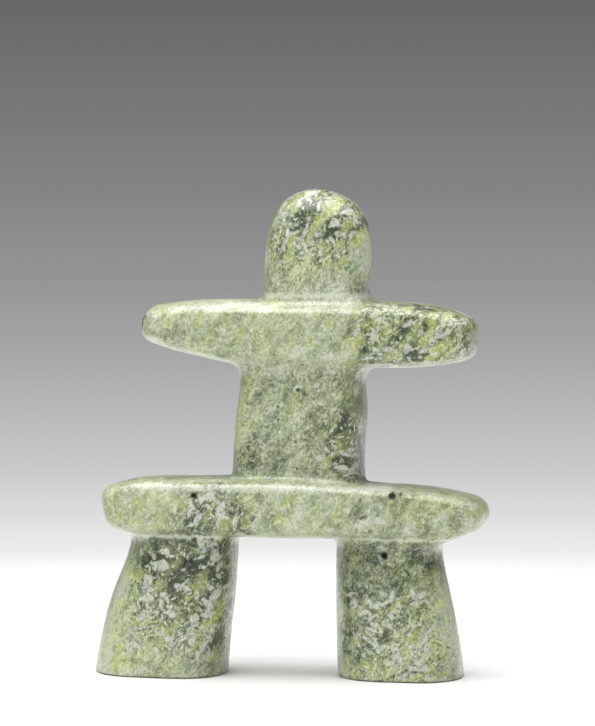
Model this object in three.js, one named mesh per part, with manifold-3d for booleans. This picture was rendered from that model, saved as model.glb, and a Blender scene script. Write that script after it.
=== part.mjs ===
// An inukshuk carved from one block of green serpentine: two legs, a hip stone, a torso, an arm stone
// and a head, stacked in the carving but never parted, with a small fillet wherever two of them meet.
// Millimetres, +Z up, the front faces -Y. The origin is in the middle of the footprint, on the surface
// that the two flat feet stand on.
import * as THREE from 'three';
import { mergeVertices } from 'three/addons/utils/BufferGeometryUtils.js';
import Module from 'manifold-3d';

// Heights, from the ground up
const legHeight = 51;
const hipHeight = 22.5;
const torsoHeight = 40.5;
const armHeight = 25.5;
const headHeight = 40.5;

// Widths across the front
const leftFootWidth = 50.3;
const rightFootWidth = 47.3;
const hipSpan = 142.4;
const torsoWidth = 48;
const armSpan = 123.4;
const headWidth = 40;

// Depths, front to back
const legDepth = 46;
const hipDepth = 50;
const torsoDepth = 39;
const armDepth = 45;
const headDepth = 37;

// Where each stone's middle lies, left or right of the middle of the footprint
const leftLegX = -49.2;
const rightLegX = 40.2;
const hipX = 0.9;
const torsoX = 3.2;
const armX = 7;
const headX = 10.3;

// How far in from its outline each stone is rounded over, and the radius of the fillets between stones
const legEdge = 18;
const hipEdge = 6;
const torsoEdge = 9;
const armEdge = 6;
const headEdge = 12;
const legFillet = 3;
const waistFillet = 2;
const shoulderFillet = 5;
const neckFillet = 4;

// The share of its height by which a stone's outline runs on into the next one, and the share by which a
// leg's runs on into the ground
const sunk = 0.2;
const buried = 0.4;

// The grid that the surface is worked out on: its cell, and the flatter cells where two stones meet
const cell = 4.4;
const flatCell = 2.2;
const surfacePasses = 4;
const outlineSteps = 4;

const stoneColour = 0xa9b288;

// Levels that follow from the heights
const hipBase = legHeight;
const torsoBase = hipBase + hipHeight;
const armBase = torsoBase + torsoHeight;
const headBase = armBase + armHeight;
const figureTop = headBase + headHeight;

// Each stone as it is seen from the front. A corner is [across, up, softness]: across is a share of the
// width from the middle, up a share of the height from the base, and softness the share of the height
// over which the corner is rounded off.
// back is how far a stone's middle is set back, turn how much it comes forward for each millimetre to
// the right, slope how much its top drops for each millimetre to the back, thin how much of its depth it
// loses at its ends, and taper how much from its base to its top.
const stones = [
  {
    x: hipX, base: hipBase, width: hipSpan, height: hipHeight, depth: hipDepth,
    back: 0, turn: 0, slope: 0.05, thin: 0.22, taper: 0,
    edge: hipEdge, squareness: 3.2, fillet: 0,
    corners: [
      [-0.487, 0.16, 0.24], [-0.501, 0.77, 0.24], [-0.41, 0.97, 0.4], [0, 1, 0.8], [0.41, 0.8, 0.5],
      [0.507, 0.61, 0.28], [0.502, 0.18, 0.24], [0.36, -0.15, 0.2], [0.2, -0.02, 0.2], [-0.2, 0.02, 0.8],
      [-0.4, 0, 0.2],
    ],
  },
  {
    x: leftLegX, base: 0, width: leftFootWidth, height: legHeight, depth: legDepth,
    back: 0.4, turn: 0.13, slope: 0, thin: 0, taper: 0.1,
    edge: legEdge, squareness: 2.2, fillet: legFillet,
    corners: [
      [-0.5, -buried, 0], [-0.495, 0.06, 0.1], [-0.39, 0.54, 0.2], [-0.215, 0.92, 0.15], [-0.2, 1 + sunk, 0],
      [0.58, 1 + sunk, 0], [0.585, 0.8, 0.2], [0.495, 0, 0.2], [0.48, -buried, 0],
    ],
  },
  {
    x: rightLegX, base: 0, width: rightFootWidth, height: legHeight, depth: legDepth,
    back: -0.3, turn: 0.1, slope: 0, thin: 0, taper: 0.07,
    edge: legEdge, squareness: 2.2, fillet: legFillet,
    corners: [
      [-0.46, -buried, 0], [-0.48, 0, 0.1], [-0.505, 0.3, 0.2], [-0.495, 0.9, 0.2], [-0.49, 1 + sunk, 0],
      [0.31, 1 + sunk, 0], [0.335, 0.88, 0.1], [0.45, 0.38, 0.2], [0.505, 0.05, 0.1], [0.5, -buried, 0],
    ],
  },
  {
    x: torsoX, base: torsoBase, width: torsoWidth, height: torsoHeight, depth: torsoDepth,
    back: 0.8, turn: 0, slope: 0, thin: 0, taper: 0.03,
    edge: torsoEdge, squareness: 2.6, fillet: waistFillet,
    corners: [
      [-0.52, -sunk, 0], [-0.5, 0.45, 0.25], [-0.445, 0.88, 0.2], [-0.48, 1 + sunk, 0],
      [0.54, 1 + sunk, 0], [0.49, 0.84, 0.1], [0.515, 0.62, 0.15], [0.48, 0.15, 0.2], [0.5, -sunk, 0],
    ],
  },
  {
    x: armX, base: armBase, width: armSpan, height: armHeight, depth: armDepth,
    back: -0.5, turn: 0, slope: 0, thin: 0.2, taper: 0.03,
    edge: armEdge, squareness: 2.6, fillet: shoulderFillet,
    corners: [
      [-0.505, 0.4, 0.16], [-0.503, 0.82, 0.24], [-0.41, 0.96, 0.4], [0.25, 0.97, 0.6], [0.43, 0.85, 0.3],
      [0.503, 0.68, 0.18], [0.498, 0.12, 0.2], [0.37, -0.01, 0.4], [-0.21, 0.01, 0.4], [-0.42, 0.235, 0.3],
    ],
  },
  {
    x: headX, base: headBase, width: headWidth, height: headHeight, depth: headDepth,
    back: 0.5, turn: 0, slope: 0, thin: 0, taper: 0.06,
    edge: headEdge, squareness: 2.4, fillet: neckFillet,
    corners: [
      [-0.51, -sunk, 0], [-0.5, 0.42, 0.2], [-0.42, 0.77, 0.17], [-0.22, 0.99, 0.2],
      [0.13, 0.995, 0.2], [0.42, 0.8, 0.17], [0.505, 0.45, 0.25], [0.44, -sunk, 0],
    ],
  },
];

// The stone's front outline in millimetres, its corners rounded off by quadratic curves.
function outlineOf({ x, base, width, height, corners }) {
  const path = new THREE.Path();
  const at = (i) => {
    const [across, up] = corners[(i + corners.length) % corners.length];
    return new THREE.Vector2(x + across * width, base + up * height);
  };
  corners.forEach(([, , softness], i) => {
    const corner = at(i);
    const towards = (other) => corner.clone().add(other.sub(corner).setLength(softness * height));
    const before = towards(at(i - 1));
    const after = towards(at(i + 1));
    if (i === 0) path.moveTo(before.x, before.y);
    else path.lineTo(before.x, before.y);
    if (softness > 0) path.quadraticCurveTo(corner.x, corner.y, after.x, after.y);
  });
  path.closePath();
  return path.getPoints(outlineSteps);
}

// How deep (x, z) lies inside a closed outline; less than 0 outside it.
function insetIn(outline, x, z) {
  let nearest = Infinity;
  let inside = false;
  outline.forEach((b, i) => {
    const a = outline[(i + outline.length - 1) % outline.length];
    const [dx, dz] = [b.x - a.x, b.y - a.y];
    const long = dx * dx + dz * dz;
    const share = long > 0 ? THREE.MathUtils.clamp(((x - a.x) * dx + (z - a.y) * dz) / long, 0, 1) : 0;
    nearest = Math.min(nearest, Math.hypot(x - a.x - share * dx, z - a.y - share * dz));
    if (a.y > z !== b.y > z && x < a.x + (dx * (z - a.y)) / dz) inside = !inside;
  });
  return inside ? nearest : -nearest;
}

// About how far (x, y, z) lies outside one stone. Its cross-section is a superellipse that reaches the
// full depth one edge width in from the outline.
function outsideStone(stone, x, y, z) {
  const across = (x - stone.x) / (stone.width / 2);
  const up = (z - stone.base) / stone.height;
  const halfDepth = (stone.depth / 2) * (1 - stone.thin * across * across) * (1 - stone.taper * up);
  const n = stone.squareness;
  const side = Math.max(1 - insetIn(stone.outline, x, z + stone.slope * up * y) / stone.edge, 0);
  const middle = stone.back - stone.turn * (x - stone.x);
  const front = Math.abs(y - middle) / Math.max(halfDepth, 1);
  const norm = Math.max((side ** n + front ** n) ** (1 / n), 0.05);
  const steepness = Math.hypot(
    (side / norm) ** (n - 1) / stone.edge,
    (front / norm) ** (n - 1) / Math.max(halfDepth, 1),
  );
  return (norm - 1) / steepness;
}

// Joins two distances, with a fillet of about the given radius where they meet.
function filleted(a, b, fillet) {
  const overlap = Math.max(fillet - Math.abs(a - b), 0);
  return Math.min(a, b) - (fillet > 0 ? (overlap * overlap) / (4 * fillet) : 0);
}

const shaped = stones.map((stone) => ({ ...stone, outline: outlineOf(stone) }));
const outsideFigure = (x, y, z) =>
  shaped.reduce((far, stone) => filleted(far, outsideStone(stone, x, y, z), stone.fillet), Infinity);

// Moves a point on to the surface, along the slope of the distance.
function settle(p) {
  const h = cell / 50;
  for (let pass = 0; pass < surfacePasses; pass++) {
    const far = outsideFigure(p.x, p.y, p.z);
    const slope = new THREE.Vector3(
      outsideFigure(p.x + h, p.y, p.z) - far,
      outsideFigure(p.x, p.y + h, p.z) - far,
      outsideFigure(p.x, p.y, p.z + h) - far,
    ).divideScalar(h);
    p.addScaledVector(slope, -far / Math.max(slope.lengthSq(), 0.25));
  }
  return p;
}

// Grid lines from low to high, closer together near the given levels.
function gridLines(low, high, levels = []) {
  const lines = [low];
  while (lines.at(-1) < high) {
    const away = Math.min(...levels.map((level) => Math.abs(level - lines.at(-1))));
    lines.push(lines.at(-1) + THREE.MathUtils.clamp(away / 2, flatCell, cell));
  }
  return lines;
}

// The surface of the figure as a net with one point in each cell that it passes through, and four
// neighbouring points joined across each grid edge that it cuts.
function surfaceNet(xs, ys, zs) {
  const [nx, ny, nz] = [xs.length, ys.length, zs.length];
  const indexOf = (i, j, k) => (k * ny + j) * nx + i;
  const placeOf = (i, j, k) => new THREE.Vector3(xs[i], ys[j], zs[k]);
  const far = new Float64Array(nx * ny * nz);
  for (let k = 0; k < nz; k++)
    for (let j = 0; j < ny; j++)
      for (let i = 0; i < nx; i++)
        far[indexOf(i, j, k)] = outsideFigure(xs[i], ys[j], zs[k]);

  // Where a grid square's corners lie in and out by turns, the outer one nearest the stone is taken in,
  // so that four faces never meet along one edge.
  for (let again = true; again;) {
    again = false;
    for (let here = 0; here < far.length - nx * ny - nx; here++)
      for (const [s, t] of [[1, nx], [1, nx * ny], [nx, nx * ny]]) {
        const [a, b, c, d] = [here, here + s, here + s + t, here + t];
        if (far[a] > 0 !== far[c] > 0 || far[b] > 0 !== far[d] > 0 || far[a] > 0 === far[b] > 0) continue;
        const [m, n] = far[a] > 0 ? [a, c] : [b, d];
        far[far[m] < far[n] ? m : n] = -cell / 50;
        again = true;
      }
  }

  const axes = [[1, 0, 0], [0, 1, 0], [0, 0, 1]];
  const points = [];
  const pointOf = new Map();
  const pointIn = (i, j, k) => {
    const key = indexOf(i, j, k);
    if (!pointOf.has(key)) {
      const sum = new THREE.Vector3();
      let cuts = 0;
      axes.forEach((axis, a) => {
        const [p, q] = [axes[(a + 1) % 3], axes[(a + 2) % 3]];
        for (const [s, t] of [[0, 0], [1, 0], [0, 1], [1, 1]]) {
          const from = [0, 1, 2].map((c) => [i, j, k][c] + s * p[c] + t * q[c]);
          const next = from.map((value, c) => value + axis[c]);
          const d0 = far[indexOf(...from)];
          const d1 = far[indexOf(...next)];
          if (d0 > 0 === d1 > 0) continue;
          sum.add(placeOf(...from).lerp(placeOf(...next), d0 / (d0 - d1)));
          cuts++;
        }
      });
      pointOf.set(key, points.length);
      points.push(settle(sum.divideScalar(cuts)));
    }
    return pointOf.get(key);
  };

  const faces = [];
  for (let k = 1; k < nz - 1; k++)
    for (let j = 1; j < ny - 1; j++)
      for (let i = 1; i < nx - 1; i++)
        axes.forEach((axis, a) => {
          const here = far[indexOf(i, j, k)] > 0;
          const next = far[indexOf(i + axis[0], j + axis[1], k + axis[2])] > 0;
          if (here === next) return;
          const [p, q] = [axes[(a + 1) % 3], axes[(a + 2) % 3]];
          const ring = [[0, 0], [1, 0], [1, 1], [0, 1]].map(([s, t]) =>
            pointIn(...[0, 1, 2].map((c) => [i, j, k][c] - s * p[c] - t * q[c])));
          if (here) ring.reverse();
          // The shorter diagonal splits each quad.
          const [a0, b0, c0, d0] = ring.map((index) => points[index]);
          const split = a0.distanceTo(c0) <= b0.distanceTo(d0) ? [0, 1, 2, 0, 2, 3] : [1, 2, 3, 1, 3, 0];
          faces.push(...split.map((corner) => ring[corner]));
        });
  return new THREE.BufferGeometry()
    .setAttribute('position', new THREE.Float32BufferAttribute(points.flatMap((p) => p.toArray()), 3))
    .setIndex(faces);
}

const wasm = await Module();
wasm.setup();

function solidFrom(geometry) {
  const bare = geometry.clone();
  bare.deleteAttribute('normal');
  bare.deleteAttribute('uv');
  const merged = mergeVertices(bare);
  return new wasm.Manifold(new wasm.Mesh({
    numProp: 3,
    vertProperties: merged.attributes.position.array,
    triVerts: new Uint32Array(merged.index.array),
  }));
}

function geometryFrom(solid) {
  const { vertProperties, triVerts } = solid.getMesh();
  const geometry = new THREE.BufferGeometry()
    .setAttribute('position', new THREE.BufferAttribute(vertProperties, 3))
    .setIndex([...triVerts]);
  geometry.computeVertexNormals();
  return geometry;
}

// The carving, sawn flat under the feet.
function carving() {
  const reach = Math.max(hipSpan, armSpan);
  const deepest = Math.max(hipDepth, armDepth, legDepth, torsoDepth, headDepth);
  const xs = gridLines(-reach / 2 - 4 * cell, reach / 2 + 4 * cell);
  const ys = gridLines(-deepest / 2 - 2.5 * cell, deepest / 2 + 2.5 * cell);
  const meetings = [hipBase, torsoBase, armBase, headBase];
  const zs = gridLines(-buried * legHeight - 2 * cell, figureTop + 2 * cell, meetings);
  const ground = new THREE.BoxGeometry(3 * reach, 3 * deepest, figureTop);
  ground.translate(0, 0, -figureTop / 2);
  return geometryFrom(solidFrom(surfaceNet(xs, ys, zs)).subtract(solidFrom(ground)));
}

const serpentine = new THREE.MeshStandardMaterial({ color: stoneColour, roughness: 0.3, metalness: 0 });
const figure = new THREE.Group();
const inukshuk = new THREE.Mesh(carving(), serpentine);
inukshuk.name = 'inukshuk';
figure.add(inukshuk);

export default figure;
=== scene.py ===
import math

import bmesh
import bpy
import numpy as np
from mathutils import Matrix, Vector, noise


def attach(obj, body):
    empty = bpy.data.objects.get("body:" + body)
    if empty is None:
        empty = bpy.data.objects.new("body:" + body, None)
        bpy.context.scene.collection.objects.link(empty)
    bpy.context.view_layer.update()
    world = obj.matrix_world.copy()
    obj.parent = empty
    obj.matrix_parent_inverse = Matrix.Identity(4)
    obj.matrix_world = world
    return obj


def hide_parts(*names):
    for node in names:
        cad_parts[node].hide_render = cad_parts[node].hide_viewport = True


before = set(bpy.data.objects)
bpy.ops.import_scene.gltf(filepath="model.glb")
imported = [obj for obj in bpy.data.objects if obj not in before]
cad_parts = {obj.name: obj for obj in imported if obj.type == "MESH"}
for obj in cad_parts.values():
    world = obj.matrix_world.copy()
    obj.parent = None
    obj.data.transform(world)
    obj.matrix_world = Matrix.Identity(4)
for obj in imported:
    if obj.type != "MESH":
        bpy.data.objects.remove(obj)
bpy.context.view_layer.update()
mm = 0.001
print("frame loaded")


# Node trees


class Wire:
    # One output of a node, which can be added, multiplied and so on to make Math nodes
    def __init__(self, sheet, socket):
        self.sheet = sheet
        self.socket = socket

    def other(self, name):
        return Wire(self.sheet, self.socket.node.outputs[name])

    def maths(self, operation, first, second):
        return self.sheet.add("ShaderNodeMath", {"operation": operation}, {0: first, 1: second})

    def __add__(self, value):
        return self.maths("ADD", self, value)

    def __sub__(self, value):
        return self.maths("SUBTRACT", self, value)

    def __rsub__(self, value):
        return self.maths("SUBTRACT", value, self)

    def __mul__(self, value):
        return self.maths("MULTIPLY", self, value)

    def __or__(self, value):
        return self.maths("MAXIMUM", self, value)

    __radd__ = __add__
    __rmul__ = __mul__


class Sheet:
    # One node tree, and the one way in which nodes are added to it
    def __init__(self, tree):
        self.tree = tree

    def add(self, kind, settings=None, sockets=None, output=0):
        node = self.tree.nodes.new(kind)
        for name, value in (settings or {}).items():
            if name == "stops":
                self.setStops(node.color_ramp, value)
            else:
                setattr(node, name, value)
        for name, value in (sockets or {}).items():
            if isinstance(value, Wire):
                self.tree.links.new(value.socket, node.inputs[name])
            else:
                node.inputs[name].default_value = value
        return Wire(self, node.outputs[output]) if node.outputs else node

    def setStops(self, ramp, stops):
        while len(ramp.elements) < len(stops):
            ramp.elements.new(1.0)
        for element, (place, colour) in zip(ramp.elements, stops):
            element.position = place
            element.color = colour

    def rise(self, value, low, high):
        # 0 below low, 1 above high, smooth between; with low over high it falls instead
        sockets = {"Value": value, "From Min": low, "From Max": high}
        if low > high:
            sockets = {"Value": value, "From Min": high, "From Max": low, "To Min": 1.0, "To Max": 0.0}
        return self.add("ShaderNodeMapRange", {"interpolation_type": "SMOOTHSTEP"}, sockets)

    def tint(self, factor, first, second):
        return self.add("ShaderNodeMix", {"data_type": "RGBA"}, {0: factor, 6: first, 7: second}, 2)

    def wash(self, factor, tone, dye):
        settings = {"data_type": "RGBA", "blend_type": "MULTIPLY"}
        return self.add("ShaderNodeMix", settings, {0: factor, 6: tone, 7: dye}, 2)

    def lot(self, cells):
        # A random share for each cell; .other("Green") and .other("Blue") are further ones
        return self.add("ShaderNodeSeparateColor", {}, {0: cells.other("Color")})

    def speckle(self, place, size, detail=2.0, roughness=0.5):
        # Noise around 0.5 with blotches of about the given size in millimetres
        sockets = {"Vector": place, "Scale": 1 / size, "Detail": detail, "Roughness": roughness}
        return self.add("ShaderNodeTexNoise", {}, sockets)

    def stirred(self, place, size, amount):
        # The place pushed about by smooth noise, so that what is drawn there bends
        sockets = {"Vector": place, "Scale": 1 / size, "Detail": 2.0}
        push = self.add("ShaderNodeTexNoise", {"normalize": False}, sockets, 1)
        return self.add(
            "ShaderNodeVectorMath", {"operation": "MULTIPLY_ADD"}, {0: push, 1: (amount,) * 3, 2: place}
        )

    def layer(self, name):
        # A value that is kept at the mesh's points
        return self.add("ShaderNodeAttribute", {"attribute_name": name}, {}, "Fac")

    def scaled(self, tone, amount):
        return self.add("ShaderNodeVectorMath", {"operation": "SCALE"}, {0: tone, 3: amount})

    def cells(self, place, size):
        return self.add("ShaderNodeTexVoronoi", {}, {"Vector": place, "Scale": 1 / size})


def colour(red, green, blue):
    # An sRGB colour from 0 to 255 as Blender's linear one
    def linear(value):
        value = value / 255
        return value / 12.92 if value <= 0.04045 else ((value + 0.055) / 1.055) ** 2.4

    return (linear(red), linear(green), linear(blue), 1.0)


# The carving

carving = {
    "cell": 1.05,  # of the grid that the surface is found on
    "gridCorner": (-80.3, -29.4, -3.15),
    "gridPoints": (153, 57, 178),
    "settlings": 3,  # rounds that move the points on to the surface
    "soleBand": 0.3,  # in cells, the height below which a point stays on the sole
    "cornerSteps": 4,
    "handWaves": [(26, 0.35), (11, 0.14), (4.5, 0.045)],  # size and height of the unevenness left by hand
    "soleFade": 4.0,  # height over which the unevenness starts above the sole
    "pitCuts": 3,
    "pitRim": 1.2,  # in cells, how far the finest faces go round a pit
    "zoneCuts": 1,
    "zoneReach": 1.05,  # how far the finer faces go, over the radius of a coarse zone
    "zoneDepth": -5,  # they are on the front alone, up to here
}

# Each stone as in the CAD: its middle, base, width, height and depth, how far it is set back, how much
# it comes forward to the right and its top drops to the back, how far in from its outline it is rounded
# over, the superellipse's power, the depth lost at its ends and its top, the fillet, and the corners of
# the outline as shares of width and height with a softness.
stones = {
    "hips": dict(
        x=0.9, base=51, width=142.4, height=22.5, depth=50, back=0, turn=0, slope=0.05,
        edge=6, power=3.2, thin=0.22, taper=0, fillet=0,
        corners=[
            (-0.487, 0.16, 0.24), (-0.501, 0.77, 0.24), (-0.41, 0.97, 0.4), (0, 1, 0.8),
            (0.41, 0.8, 0.5), (0.507, 0.61, 0.28), (0.502, 0.18, 0.24), (0.36, -0.15, 0.2),
            (0.2, -0.02, 0.2), (-0.2, 0.02, 0.8), (-0.4, 0, 0.2),
        ],
    ),
    "leftLeg": dict(
        x=-49.2, base=0, width=50.3, height=51, depth=46, back=0.4, turn=0.13, slope=0,
        edge=18, power=2.2, thin=0, taper=0.1, fillet=3,
        corners=[
            (-0.5, -0.4, 0), (-0.495, 0.06, 0.1), (-0.39, 0.54, 0.2), (-0.215, 0.92, 0.15),
            (-0.2, 1.2, 0), (0.58, 1.2, 0), (0.585, 0.8, 0.2), (0.495, 0, 0.2), (0.48, -0.4, 0),
        ],
    ),
    "rightLeg": dict(
        x=40.2, base=0, width=47.3, height=51, depth=46, back=-0.3, turn=0.1, slope=0,
        edge=18, power=2.2, thin=0, taper=0.07, fillet=3,
        corners=[
            (-0.46, -0.4, 0), (-0.48, 0, 0.1), (-0.505, 0.3, 0.2), (-0.495, 0.9, 0.2), (-0.49, 1.2, 0),
            (0.31, 1.2, 0), (0.335, 0.88, 0.1), (0.45, 0.38, 0.2), (0.505, 0.05, 0.1), (0.5, -0.4, 0),
        ],
    ),
    "torso": dict(
        x=3.2, base=73.5, width=48, height=40.5, depth=39, back=0.8, turn=0, slope=0,
        edge=9, power=2.6, thin=0, taper=0.03, fillet=2,
        corners=[
            (-0.52, -0.2, 0), (-0.5, 0.45, 0.25), (-0.445, 0.88, 0.2), (-0.48, 1.2, 0), (0.54, 1.2, 0),
            (0.49, 0.84, 0.1), (0.515, 0.62, 0.15), (0.48, 0.15, 0.2), (0.5, -0.2, 0),
        ],
    ),
    "arms": dict(
        x=7, base=114, width=123.4, height=25.5, depth=45, back=-0.5, turn=0, slope=0,
        edge=6, power=2.6, thin=0.2, taper=0.03, fillet=5,
        corners=[
            (-0.505, 0.4, 0.16), (-0.503, 0.82, 0.24), (-0.41, 0.96, 0.4), (0.25, 0.97, 0.6),
            (0.43, 0.85, 0.3), (0.503, 0.68, 0.18), (0.498, 0.12, 0.2), (0.37, -0.01, 0.4),
            (-0.21, 0.01, 0.4), (-0.42, 0.235, 0.3),
        ],
    ),
    "head": dict(
        x=10.3, base=139.5, width=40, height=40.5, depth=37, back=0.5, turn=0, slope=0,
        edge=12, power=2.4, thin=0, taper=0.06, fillet=4,
        corners=[
            (-0.51, -0.2, 0), (-0.5, 0.42, 0.2), (-0.42, 0.77, 0.17), (-0.22, 0.99, 0.2),
            (0.13, 0.995, 0.2), (0.42, 0.8, 0.17), (0.505, 0.45, 0.25), (0.44, -0.2, 0),
        ],
    ),
}

# Small pits in the front: across, up, radius, depth and how dark they are
pits = [
    (-32.9, 67.5, 1.0, 0.9, 0.95),
    (39.8, 68.0, 1.3, 0.9, 0.95),
    (42.7, 68.3, 0.5, 0.4, 0.8),
    (36.8, 46.0, 1.3, 0.9, 1.0),
    (4.8, 105.9, 0.7, 0.5, 0.85),
    (-2.6, 99.7, 0.6, 0.4, 0.7),
    (-35.1, 42.1, 2.2, 0.9, 0.75),
    (59.6, 12.2, 0.5, 0.4, 0.8),
]

# Where the stone's pattern is coarse and strong on the front: middle and radius
coarseZones = [
    ((10, -14, 168), 20),
    ((50, -14, 126), 26),
    ((26, -14, 84), 13),
    ((-25, -18, 60), 14),
    ((-38, -16, 29), 22),
    ((42, -16, 14), 19),
]


def outlineOf(stone):
    # The stone's front outline, its corners rounded off by quadratic curves
    corners = [
        np.array((stone["x"] + across * stone["width"], stone["base"] + up * stone["height"]))
        for across, up, softness in stone["corners"]
    ]
    points = []
    for i, (across, up, softness) in enumerate(stone["corners"]):
        corner = corners[i]
        reach = softness * stone["height"]
        before, after = [
            corner + (end - corner) / np.linalg.norm(end - corner) * reach
            for end in (corners[i - 1], corners[(i + 1) % len(corners)])
        ]
        steps = carving["cornerSteps"] if softness else 0
        for t in np.linspace(0, 1, steps + 1) if steps else [0]:
            points.append((1 - t) ** 2 * before + 2 * t * (1 - t) * corner + t * t * after)
    return np.array(points)


def insetIn(outline, x, z):
    nearest = np.inf
    inside = False
    for a, b in zip(np.roll(outline, 1, axis=0), outline):
        dx, dz = b - a
        if dx * dx + dz * dz < 1e-12:
            continue
        share = np.clip(((x - a[0]) * dx + (z - a[1]) * dz) / (dx * dx + dz * dz), 0, 1)
        nearest = np.minimum(nearest, np.hypot(x - a[0] - share * dx, z - a[1] - share * dz))
        if dz != 0:
            inside = inside ^ (((a[1] > z) != (b[1] > z)) & (x < a[0] + dx * (z - a[1]) / dz))
    return np.where(inside, nearest, -nearest)


def outsideStone(stone, x, y, z):
    # About how far a place lies outside one stone
    across = (x - stone["x"]) / (stone["width"] / 2)
    up = (z - stone["base"]) / stone["height"]
    half = stone["depth"] / 2 * (1 - stone["thin"] * across**2) * (1 - stone["taper"] * up)
    half = np.maximum(half, 1)
    power = stone["power"]
    level = z + stone["slope"] * up * y if stone["slope"] else z
    side = np.maximum(1 - insetIn(stone["outline"], x, level) / stone["edge"], 0)
    middle = stone["back"] - stone["turn"] * (x - stone["x"])
    front = np.abs(y - middle) / half
    norm = np.maximum((side**power + front**power) ** (1 / power), 0.05)
    steepness = np.hypot((side / norm) ** (power - 1) / stone["edge"], (front / norm) ** (power - 1) / half)
    return (norm - 1) / np.maximum(steepness, 1e-3)


def outsideFigure(x, y, z):
    far = None
    for stone in stones.values():
        own = outsideStone(stone, x, y, z)
        if far is None:
            far = own
            continue
        overlap = np.maximum(stone["fillet"] - np.abs(far - own), 0)
        far = np.minimum(far, own) - overlap**2 / (4 * stone["fillet"])
    return far


def slopeAt(points, far):
    step = 0.05
    moved = [outsideFigure(*(points + step * axis).T) - far for axis in np.eye(3)]
    return np.array(moved).T / step


def surfaceNet(far, low, cell):
    # One point in each cell that the surface passes through, and a quad across each grid edge it cuts
    inside = far < 0
    cellShape = tuple(n - 1 for n in far.shape)
    total = np.zeros(cellShape + (3,))
    cuts = np.zeros(cellShape, int)
    for axis in range(3):
        here, there = [slice(None)] * 3, [slice(None)] * 3
        here[axis], there[axis] = slice(0, -1), slice(1, None)
        first, second = far[tuple(here)], far[tuple(there)]
        cut = (first < 0) != (second < 0)
        place = np.moveaxis(np.indices(first.shape).astype(float), 0, -1)
        place[..., axis] += np.where(cut, first / np.where(cut, first - second, 1), 0)
        p, q = [a for a in range(3) if a != axis]
        for s in (0, 1):
            for t in (0, 1):
                part = [slice(None)] * 3
                part[p], part[q] = slice(s, s + cellShape[p]), slice(t, t + cellShape[q])
                part = tuple(part)
                total += np.where(cut[part][..., None], place[part], 0)
                cuts += cut[part]
    used = cuts > 0
    number = np.full(cellShape, -1)
    number[used] = np.arange(used.sum())
    points = low + cell * total[used] / cuts[used][:, None]
    quads = []
    for axis in range(3):
        p, q = (axis + 1) % 3, (axis + 2) % 3
        here, there = [slice(1, -1)] * 3, [slice(1, -1)] * 3
        here[axis], there[axis] = slice(0, -1), slice(1, None)
        first, second = inside[tuple(here)], inside[tuple(there)]
        at = np.argwhere(first != second)
        at[:, [p, q]] += 1
        ring = []
        for s, t in ((1, 1), (0, 1), (0, 0), (1, 0)):
            corner = at.copy()
            corner[:, p] -= s
            corner[:, q] -= t
            ring.append(number[tuple(corner.T)])
        ring = np.stack(ring, 1)
        outward = first[first != second]
        ring[~outward] = ring[~outward][:, ::-1]
        quads.append(ring)
    return points, np.concatenate(quads)


def carve():
    # The carving as points and quads, not yet quite on its surface
    cell = carving["cell"]
    for stone in stones.values():
        stone["outline"] = outlineOf(stone)
    low = np.array(carving["gridCorner"])
    x, y, z = [low[a] + cell * np.arange(n) for a, n in enumerate(carving["gridPoints"])]
    far = outsideFigure(x[:, None, None], y[None, :, None], z[None, None, :])
    far = np.maximum(far, -z[None, None, :])
    return surfaceNet(far, low, cell)


def cutFiner(form, near, cuts):
    edges = [e for e in form.edges if near.issuperset(e.verts)]
    bmesh.ops.subdivide_edges(form, edges=edges, cuts=cuts, use_grid_fill=True)


def cutWhereFine(mesh):
    # The faces are cut finer where small marks lie, and more at each pit, which is a real hollow
    form = bmesh.new()
    form.from_mesh(mesh)
    zones = [(Vector(middle), carving["zoneReach"] * radius) for middle, radius in coarseZones]
    front = [v for v in form.verts if v.co.y < carving["zoneDepth"]]
    inZones = {v for v in front if any((v.co - middle).length < reach for middle, reach in zones)}
    cutFiner(form, inZones, carving["zoneCuts"])
    for across, up, radius, depth, darkening in pits:
        reach = radius + carving["pitRim"] * carving["cell"]
        near = {v for v in form.verts if v.co.y < 0 and math.hypot(v.co.x - across, v.co.z - up) < reach}
        cutFiner(form, near, carving["pitCuts"])
    bmesh.ops.triangulate(form, faces=[f for f in form.faces if len(f.verts) > 4])
    form.to_mesh(mesh)
    form.free()


def settle(points):
    # Moves the points on to the surface, those of the soles apart
    onSole = points[:, 2] < carving["soleBand"] * carving["cell"]
    for _ in range(carving["settlings"]):
        far = outsideFigure(*points.T)
        slope = slopeAt(points, far)
        move = -slope * (far / np.maximum((slope**2).sum(1), 0.25))[:, None]
        points += np.where(onSole[:, None], 0, move)
    points[:, 2] = np.maximum(points[:, 2], 0)


def handWork(point):
    # How far the surface stands out from the plain form, in millimetres
    lift = 0
    for size, height in carving["handWaves"]:
        lift += height * noise.noise(point / size)
    lift *= min(max(point.z / carving["soleFade"], 0), 1)
    for across, up, radius, depth, darkening in pits:
        share = math.hypot(point.x - across, point.z - up) / radius
        if share < 1 and point.y < 0:
            lift -= depth * (1 - share**2) ** 2
    return lift


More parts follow.
